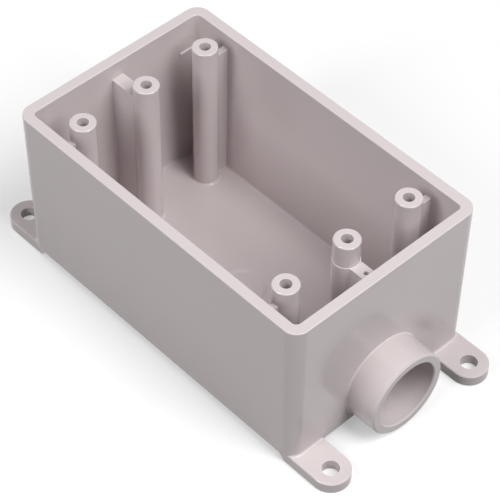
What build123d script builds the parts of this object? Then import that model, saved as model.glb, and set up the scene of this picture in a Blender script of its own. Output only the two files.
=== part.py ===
"""Open-top weatherproof device box, moulded in one piece.

The housing has draft, six screw posts stand inside it, a conduit socket is on one end and it has four feet.
Millimetres. Z points up out of the open side and X runs along the box towards the conduit socket.
The origin is the centre of the four foot holes, on the mounting plane.
"""
from build123d import *
import math
import os

# Housing
rim_length = 116.5
rim_width = 71.0
rim_corner_radius = 4.6
box_depth = 57.2
wall = 3.5
wall_draft = 0.9
floor_thickness = 2.3
mouth_corner_radius = 1.6
floor_fillet = 0.9
rim_edge_round = 0.3

# Feet
foot_standoff = 0.4
foot_thickness = 3.6
foot_width = 11.9
foot_hole_radius = 2.65
foot_hole_beyond_end = 8.45
foot_hole_inside_side = 7.2
strap_lap = 6.45
strap_bevel = 2.1
foot_root_fillet = 0.8
foot_above_back_round = 0.1
foot_edge_chamfer = 0.25

# Screw posts
device_screw_spacing = 83.34
cover_screw_spacing_x = 84.4
cover_screw_spacing_y = 47.4
post_radius = 4.0
post_hole_radius = 1.8
post_hole_depth = 28.0
post_edge_chamfer = 0.25
post_foot_flare = 0.5

# Webs that tie the posts to the walls
cover_web_thickness = 2.0
cover_web_drop = 5.5
device_web_thickness = 4.3
blind_end_web_drop = 5.8
hub_end_web_drop = 7.8
sleeve_step = 0.15
pilot_hole_radius = 0.75
pilot_hole_depth = 8.0
pilot_to_wall = 5.3

# Conduit socket
conduit_outer_radius = 10.67
socket_clearance = 0.18
hub_outer_radius = 13.9
hub_reach = 10.85
hub_mouth_chamfer = 0.35
hub_edge_chamfer = 0.6
hub_root_flare = 0.45
throat_radius = 7.9
stop_thickness = 1.8
throat_past_post = 0.5

# Moulding marks
gate_recess_radius = 7.5
gate_recess_depth = 0.35
gate_recess_slope = 1.2
ledge_drop = 12.0
ledge_depth = 0.5
ledge_height = 0.7
ledge_length = 7.0

# Worked out from the sizes above
draft_slope = math.tan(math.radians(wall_draft))
back_edge_round = foot_thickness - foot_standoff - foot_above_back_round
floor_z = foot_standoff + floor_thickness
rim_z = foot_standoff + box_depth
inner_depth = rim_z - floor_z
mouth_length = rim_length - 2 * wall
mouth_width = rim_width - 2 * wall
foot_hole_spacing_x = rim_length + 2 * foot_hole_beyond_end
foot_hole_spacing_y = rim_width - 2 * foot_hole_inside_side
foot_x = foot_hole_spacing_x / 2
strap_start_x = rim_length / 2 - strap_lap
hub_z = hub_outer_radius
hub_wall_x = rim_length / 2 - (rim_z - hub_z) * draft_slope
hub_face_x = hub_wall_x + hub_reach
hub_inner_x = hub_wall_x - wall
hub_root_x = hub_wall_x - hub_root_flare
socket_radius = conduit_outer_radius + socket_clearance
socket_stop_x = hub_inner_x + stop_thickness
device_x = device_screw_spacing / 2
cover_y = cover_screw_spacing_y / 2
ledge_x = (wall - ledge_depth) / 2 - rim_length / 2 + ledge_drop * draft_slope + ledge_depth
ledge_y = cover_y + cover_web_thickness / 2 + ledge_length / 2
sleeve_radius = post_radius + sleeve_step
throat_tip_x = device_x + sleeve_radius + throat_past_post
cover_web_reach = mouth_width / 2 - cover_y
device_web_reach = mouth_length / 2 - device_x
standing = (Align.CENTER, Align.CENTER, Align.MIN)
flare_radius = post_radius + post_foot_flare
recess_floor_radius = gate_recess_radius - gate_recess_slope
rim_plane = Plane.XY.offset(rim_z)
pick_margin = 0.01
foot_top_band = (foot_thickness - pick_margin, foot_thickness + pick_margin)
hub_face_band = (hub_face_x - pick_margin, hub_face_x + pick_margin)

# Outside of the housing
with BuildPart() as housing:
    with BuildSketch(rim_plane):
        RectangleRounded(rim_length, rim_width, rim_corner_radius)
    extrude(amount=-box_depth)
    draft(housing.faces().filter_by(Axis.Z, reverse=True), neutral_plane=rim_plane, angle=-wall_draft)
    fillet(housing.edges().group_by(Axis.Z)[0], radius=back_edge_round)

# Space inside the housing, with the posts and webs left standing in it
with BuildPart() as inside:
    with BuildSketch(rim_plane):
        Rectangle(mouth_length, mouth_width)
    extrude(amount=-inner_depth)
    draft(inside.faces().filter_by(Axis.Z, reverse=True), neutral_plane=rim_plane, angle=-wall_draft)
    fillet(inside.edges().group_by(Axis.Z)[1], radius=mouth_corner_radius)
    fillet(inside.edges().group_by(Axis.Z)[0], radius=floor_fillet)
    with Locations((-device_x, 0, floor_z), (device_x, 0, floor_z)):
        Cylinder(post_radius, inner_depth, align=standing, mode=Mode.SUBTRACT)
        Cone(flare_radius, post_radius, post_foot_flare, align=standing, mode=Mode.SUBTRACT)
    with Locations((0, 0, floor_z)):
        with GridLocations(cover_screw_spacing_x, cover_screw_spacing_y, 2, 2):
            Cylinder(post_radius, inner_depth, align=standing, mode=Mode.SUBTRACT)
            Cone(flare_radius, post_radius, post_foot_flare, align=standing, mode=Mode.SUBTRACT)
    with Locations((device_x, 0, floor_z)):
        Cylinder(sleeve_radius, inner_depth - hub_end_web_drop, align=standing, mode=Mode.SUBTRACT)
    with BuildSketch(Plane.XY.offset(rim_z - cover_web_drop)):
        for side in (-1, 1):
            with Locations((0, side * (cover_y + cover_web_reach / 2))):
                with GridLocations(cover_screw_spacing_x, 0, 2, 1):
                    Rectangle(cover_web_thickness, cover_web_reach)
    extrude(amount=-(inner_depth - cover_web_drop), mode=Mode.SUBTRACT)
    with BuildSketch(Plane.XY.offset(rim_z - blind_end_web_drop)):
        with Locations((-device_x - device_web_reach / 2, 0)):
            Rectangle(device_web_reach, device_web_thickness)
    extrude(amount=-(inner_depth - blind_end_web_drop), mode=Mode.SUBTRACT)
    with BuildSketch(Plane.XY.offset(rim_z - hub_end_web_drop)):
        with Locations((device_x + device_web_reach / 2, 0)):
            Rectangle(device_web_reach, device_web_thickness)
    extrude(amount=-(inner_depth - hub_end_web_drop), mode=Mode.SUBTRACT)
    with Locations((ledge_x, ledge_y, rim_z - ledge_drop)):
        Box(ledge_depth + wall, ledge_length, ledge_height, mode=Mode.SUBTRACT)

# Conduit hub with a flared root, flush with the mounting plane at its lowest
with BuildPart() as hub:
    with BuildSketch(Plane.YZ.offset(hub_inner_x)):
        with Locations((0, hub_z)):
            Circle(hub_outer_radius)
    extrude(amount=hub_face_x - hub_inner_x)
    chamfer(hub.edges().group_by(Axis.X)[-1], length=hub_edge_chamfer)
    with Locations(Plane(origin=(hub_root_x, 0, hub_z), z_dir=(1, 0, 0))):
        Cone(hub_outer_radius + 2 * hub_root_flare, hub_outer_radius, 2 * hub_root_flare, align=standing)
    split(bisect_by=Plane.XY, keep=Keep.TOP)

# One moulding: housing, feet and conduit hub, with the inside and the holes taken out
with BuildPart() as box_body:
    with BuildSketch(Plane.XY):
        for side in (-1, 1):
            with Locations((side * (foot_x + strap_start_x) / 2, 0)):
                with GridLocations(0, foot_hole_spacing_y, 1, 2):
                    Rectangle(foot_x - strap_start_x, foot_width)
        with GridLocations(foot_hole_spacing_x, foot_hole_spacing_y, 2, 2):
            Circle(foot_width / 2)
    extrude(amount=foot_thickness)
    strap_ends = box_body.edges().filter_by(Axis.Y).group_by(Axis.Z)[0]
    chamfer(strap_ends, length=strap_bevel)
    foot_tops = box_body.edges().group_by(Axis.Z)[-1]
    chamfer(foot_tops.filter_by(Axis.Y, reverse=True), length=foot_edge_chamfer)
    add(housing.part)
    foot_joins = box_body.edges().filter_by_position(Axis.Z, *foot_top_band)
    fillet(foot_joins.filter_by(Axis.Y), radius=foot_root_fillet)

    add(hub.part)
    add(inside.part, mode=Mode.SUBTRACT)

    # Socket for the conduit with its lead-in, and the throat behind the stop
    with BuildSketch(Plane.YZ.offset(hub_face_x)):
        with Locations((0, hub_z)):
            Circle(socket_radius)
    extrude(amount=socket_stop_x - hub_face_x, mode=Mode.SUBTRACT)
    with BuildSketch(Plane.YZ.offset(socket_stop_x)):
        with Locations((0, hub_z)):
            Circle(throat_radius)
    extrude(amount=throat_tip_x - socket_stop_x, mode=Mode.SUBTRACT)
    mouth_edges = box_body.edges().filter_by_position(Axis.X, *hub_face_band)
    chamfer(mouth_edges.filter_by(GeomType.CIRCLE).sort_by(SortBy.RADIUS)[0], length=hub_mouth_chamfer)

    # Screw holes in the posts and the small pilot hole in the hub end web
    with BuildSketch(Plane.XY.offset(rim_z)):
        with Locations((-device_x, 0), (device_x, 0)):
            Circle(post_hole_radius)
        with GridLocations(cover_screw_spacing_x, cover_screw_spacing_y, 2, 2):
            Circle(post_hole_radius)
    extrude(amount=-post_hole_depth, mode=Mode.SUBTRACT)
    with BuildSketch(Plane.XY.offset(rim_z - hub_end_web_drop)):
        with Locations((mouth_length / 2 - pilot_to_wall, 0)):
            Circle(pilot_hole_radius)
    extrude(amount=-pilot_hole_depth, mode=Mode.SUBTRACT)

    # Holes in the feet and the gate recess in the floor
    with BuildSketch(Plane.XY):
        with GridLocations(foot_hole_spacing_x, foot_hole_spacing_y, 2, 2):
            Circle(foot_hole_radius)
    extrude(amount=foot_thickness, mode=Mode.SUBTRACT)
    with Locations((0, 0, floor_z - gate_recess_depth)):
        Cone(recess_floor_radius, gate_recess_radius, gate_recess_depth, align=standing, mode=Mode.SUBTRACT)

    # Rounded rim and chamfered post tops
    top_faces = box_body.faces().filter_by(Axis.Z).group_by(Axis.Z)[-1].sort_by(SortBy.AREA)
    fillet(top_faces[-1].edges(), radius=rim_edge_round)
    post_tops = box_body.faces().filter_by(Axis.Z).group_by(Axis.Z)[-1].sort_by(SortBy.AREA)[:-1]
    chamfer([face.outer_wire().edges()[0] for face in post_tops], length=post_edge_chamfer)

os.makedirs("parts", exist_ok=True)
box_body.part.label = "box_body"
export_step(box_body.part, "parts/box_body.step")
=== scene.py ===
import math

import bpy
from mathutils import Matrix, Vector


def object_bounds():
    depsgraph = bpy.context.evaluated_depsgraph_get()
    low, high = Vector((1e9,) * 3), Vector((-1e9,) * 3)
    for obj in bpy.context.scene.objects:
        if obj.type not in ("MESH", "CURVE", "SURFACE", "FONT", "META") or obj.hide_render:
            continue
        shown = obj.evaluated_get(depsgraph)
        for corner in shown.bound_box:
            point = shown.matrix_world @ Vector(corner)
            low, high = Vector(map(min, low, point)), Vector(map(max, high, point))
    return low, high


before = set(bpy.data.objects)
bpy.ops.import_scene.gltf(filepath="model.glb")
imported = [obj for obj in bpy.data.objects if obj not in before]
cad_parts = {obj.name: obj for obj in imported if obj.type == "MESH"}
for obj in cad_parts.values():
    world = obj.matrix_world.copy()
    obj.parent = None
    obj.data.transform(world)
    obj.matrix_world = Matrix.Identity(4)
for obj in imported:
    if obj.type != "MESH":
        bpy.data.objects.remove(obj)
cad_low, cad_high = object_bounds()

scene = bpy.context.scene
scene.view_settings.view_transform = "Standard"

# Camera: the photograph's own view, fitted to the box's straight edges and screw posts
CAMERA_AZIMUTH = -43.52
CAMERA_ELEVATION = 47.59
CAMERA_ROLL = 0.59
CAMERA_DISTANCE = 0.62602
CAMERA_TARGET = Vector((0.00849, -0.00511, 0.0301))
CAMERA_LENS = 155.89
SENSOR_WIDTH = 36.0
NEAREST_SEEN = 0.01
FARTHEST_SEEN = 20.0

# Moulded plastic
BODY_COLOUR = (0.608, 0.546, 0.553)
BODY_COLOUR_WARM = (0.621, 0.555, 0.561)
BODY_ROUGHNESS = 0.14
BODY_IOR = 1.42
TINT_CONTRAST = 2.4
BUMP_STRENGTH = 0.12
BUMP_DISTANCE = 0.00006

# Noise patterns on the plastic: how fine they are, and what each one changes
CLOUD_SCALE = 28.0
RIPPLE_SCALE = 160.0
GRAIN_SCALE = 900.0
CLOUD_ROUGHNESS = 0.06
GRAIN_ROUGHNESS = 0.04
RIPPLE_HEIGHT = 0.7
GRAIN_HEIGHT = 0.3

# Painted highlight along the edges: a lighter colour where the edges would catch the light
EDGE_HIGHLIGHT_COLOUR = (0.84, 0.81, 0.81)
EDGE_WIDTH = 0.0006
EDGE_SAMPLES = 4
EDGE_GAIN = 3.0
EDGE_HIGHLIGHT_MEAN = 0.75
EDGE_HIGHLIGHT_PATCHES = 0.7

# Floor: how pale it looks, the glow that takes it to white, and how much light it bounces
FLOOR_SIZE = 6.0
FLOOR_GAP = 0.0002
FLOOR_WHITE = 0.64
FLOOR_GLOW = 0.36
FLOOR_BOUNCE = 0.16

# Light
WORLD_STRENGTH = 0.06
LIGHT_AIM = Vector((0, 0, 0.03))
LIGHT_DISTANCE = 1.0

# Softboxes: name, azimuth, elevation, width, height, power
SOFTBOXES = (
    ("softbox_right", 4.0, 56.0, 0.35, 0.70, 7.1),
    ("softbox_left", -95.0, 37.0, 0.35, 0.50, 4.6),
    ("softbox_far", 45.0, 50.0, 0.50, 0.50, 2.8),
    ("softbox_back", 185.0, 25.0, 0.60, 0.40, 2.2),
)

# A Mix node's sockets for colour, which share their names with those for numbers
FIRST_COLOUR = 6
SECOND_COLOUR = 7
MIXED_COLOUR = 2


class Value:
    """A shader socket that Python's arithmetic works on; each operation adds one Math node."""

    def __init__(self, graph, socket):
        self.graph = graph
        self.socket = socket

    def math(self, operation, other, clamp=False):
        node = self.graph.tree.nodes.new("ShaderNodeMath")
        node.operation = operation
        node.use_clamp = clamp
        self.graph.feed(node.inputs[0], self)
        self.graph.feed(node.inputs[1], other)
        return Value(self.graph, node.outputs[0])

    def __add__(self, other):
        return self.math("ADD", other)

    def __radd__(self, other):
        return self + other

    def __sub__(self, other):
        return self.math("SUBTRACT", other)

    def __rsub__(self, other):
        return self * -1.0 + other

    def __mul__(self, other):
        return self.math("MULTIPLY", other)

    def __rmul__(self, other):
        return self * other

    def clamp(self):
        return self.math("ADD", 0.0, clamp=True)


class Graph:
    """A material's or the world's node tree, with one method that makes any node."""

    def __init__(self, owner, output_kind="ShaderNodeOutputMaterial"):
        owner.use_nodes = True
        self.tree = owner.node_tree
        self.tree.nodes.clear()
        self.output_kind = output_kind

    def feed(self, slot, item):
        if isinstance(item, Value):
            self.tree.links.new(item.socket, slot)
        else:
            slot.default_value = item

    def node(self, kind, inputs=None, output=0, **settings):
        node = self.tree.nodes.new(kind)
        for key, item in settings.items():
            setattr(node, key, item)
        for key, item in (inputs or {}).items():
            self.feed(node.inputs[key], item)
        return Value(self, node.outputs[output])

    def surface(self, shader):
        self.feed(self.tree.nodes.new(self.output_kind).inputs["Surface"], shader)


def noise(graph, place, scale, detail):
    """A noise pattern that swings about 0."""
    inputs = {"Vector": place, "Scale": scale, "Detail": detail, "Roughness": 0.5}
    return graph.node("ShaderNodeTexNoise", inputs, output="Fac") - 0.5


def blend(graph, factor, first, second):
    inputs = {"Factor": factor, FIRST_COLOUR: first, SECOND_COLOUR: second}
    return graph.node("ShaderNodeMix", inputs, output=MIXED_COLOUR, data_type="RGBA")


def grey(graph, level):
    inputs = {"Red": level, "Green": level, "Blue": level}
    return graph.node("ShaderNodeCombineColor", inputs, output="Color")


def edge_highlight_mask(graph):
    """0 on open faces, rising towards 1 at the edges, where the colour is lightened as a painted
    highlight.
    """
    rounded = graph.node("ShaderNodeBevel", {"Radius": EDGE_WIDTH}, output="Normal", samples=EDGE_SAMPLES)
    facing = graph.node("ShaderNodeNewGeometry", output="Normal")
    inputs = {0: rounded, 1: facing}
    match = graph.node("ShaderNodeVectorMath", inputs, output="Value", operation="DOT_PRODUCT")
    return ((1.0 - match) * EDGE_GAIN).clamp()


def seen_ray(graph):
    """1 for camera, glossy and transmission rays, 0 for the rays that carry bounced light."""
    kinds = ("Camera", "Glossy", "Transmission")
    rays = [graph.node("ShaderNodeLightPath", output="Is %s Ray" % kind) for kind in kinds]
    return (rays[0] + rays[1] + rays[2]).clamp()


def moulded_plastic():
    material = bpy.data.materials.new("pale_grey_pvc")
    g = Graph(material)
    place = g.node("ShaderNodeTexCoord", output="Object")
    cloud = noise(g, place, CLOUD_SCALE, detail=3.0)
    grain = noise(g, place, GRAIN_SCALE, detail=2.0)
    ripple = noise(g, place, RIPPLE_SCALE, detail=2.0)

    # Painted highlight: the colour at convex and concave edges is lightened in patches, standing in for
    # light glinting on them
    painted_edge_highlight = edge_highlight_mask(g) * (EDGE_HIGHLIGHT_MEAN + EDGE_HIGHLIGHT_PATCHES * ripple)
    warmth = (0.5 + TINT_CONTRAST * cloud).clamp()
    tint = blend(g, warmth, (*BODY_COLOUR, 1), (*BODY_COLOUR_WARM, 1))
    height = RIPPLE_HEIGHT * ripple + GRAIN_HEIGHT * grain
    bump = {"Height": height, "Strength": BUMP_STRENGTH, "Distance": BUMP_DISTANCE}

    g.surface(g.node("ShaderNodeBsdfPrincipled", {
        # the base colour carries the painted edge highlight
        "Base Color": blend(g, painted_edge_highlight, tint, (*EDGE_HIGHLIGHT_COLOUR, 1)),
        "Roughness": BODY_ROUGHNESS + CLOUD_ROUGHNESS * cloud + GRAIN_ROUGHNESS * grain,
        "Normal": g.node("ShaderNodeBump", bump, output="Normal"),
        "IOR": BODY_IOR}, output="BSDF"))
    return material


def floor_material():
    material = bpy.data.materials.new("studio_floor")
    g = Graph(material)
    seen = seen_ray(g)
    g.surface(g.node("ShaderNodeBsdfPrincipled", {
        "Base Color": grey(g, FLOOR_BOUNCE + (FLOOR_WHITE - FLOOR_BOUNCE) * seen),
        "Roughness": 1.0,
        "Specular IOR Level": 0.0,
        "Emission Color": grey(g, FLOOR_GLOW * seen),
        "Emission Strength": 1.0}, output="BSDF"))
    return material


def dress_box():
    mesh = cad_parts["box_body"].data
    mesh.materials.clear()
    mesh.materials.append(moulded_plastic())


def add_floor():
    half = FLOOR_SIZE / 2
    corners = [(-half, -half, 0), (half, -half, 0), (half, half, 0), (-half, half, 0)]
    mesh = bpy.data.meshes.new("studio_floor")
    mesh.from_pydata(corners, [], [(0, 1, 2, 3)])
    mesh.materials.append(floor_material())
    floor = bpy.data.objects.new("studio_floor", mesh)
    floor.location = (0, 0, cad_low.z - FLOOR_GAP)
    scene.collection.objects.link(floor)


def towards(azimuth, elevation):
    """The direction at these angles, in degrees from +X and from the floor."""
    azimuth, elevation = math.radians(azimuth), math.radians(elevation)
    level = math.cos(elevation)
    return Vector((level * math.cos(azimuth), level * math.sin(azimuth), math.sin(elevation)))


def add_softbox(name, azimuth, elevation, width, height, power):
    lamp = bpy.data.lights.new(name, "AREA")
    lamp.shape = "RECTANGLE"
    lamp.size, lamp.size_y = width, height
    lamp.energy = power
    direction = towards(azimuth, elevation)
    holder = bpy.data.objects.new(name, lamp)
    holder.location = LIGHT_AIM + direction * LIGHT_DISTANCE
    holder.rotation_euler = (-direction).to_track_quat("-Z", "Y").to_euler()
    scene.collection.objects.link(holder)


def add_world():
    scene.world = bpy.data.worlds.new("studio_world")
    g = Graph(scene.world, "ShaderNodeOutputWorld")
    strength = WORLD_STRENGTH + (1.0 - WORLD_STRENGTH) * seen_ray(g)
    inputs = {"Color": (1, 1, 1, 1), "Strength": strength}
    g.surface(g.node("ShaderNodeBackground", inputs, output="Background"))


def add_camera():
    back = towards(CAMERA_AZIMUTH, CAMERA_ELEVATION)
    right = Vector((0, 0, 1)).cross(back).normalized()
    up = back.cross(right)
    roll = math.radians(CAMERA_ROLL)
    rolled_right = right * math.cos(roll) + up * math.sin(roll)
    rolled_up = up * math.cos(roll) - right * math.sin(roll)
    pose = Matrix((rolled_right, rolled_up, back)).transposed().to_4x4()
    pose.translation = CAMERA_TARGET + back * CAMERA_DISTANCE

    lens = bpy.data.cameras.new("photo_camera")
    lens.sensor_fit = "HORIZONTAL"
    lens.sensor_width = SENSOR_WIDTH
    lens.lens = CAMERA_LENS
    lens.clip_start = NEAREST_SEEN
    lens.clip_end = FARTHEST_SEEN
    camera = bpy.data.objects.new("photo_camera", lens)
    camera.matrix_world = pose
    scene.collection.objects.link(camera)
    scene.camera = camera


dress_box()
add_floor()
add_world()
for softbox in SOFTBOXES:
    add_softbox(*softbox)
add_camera()
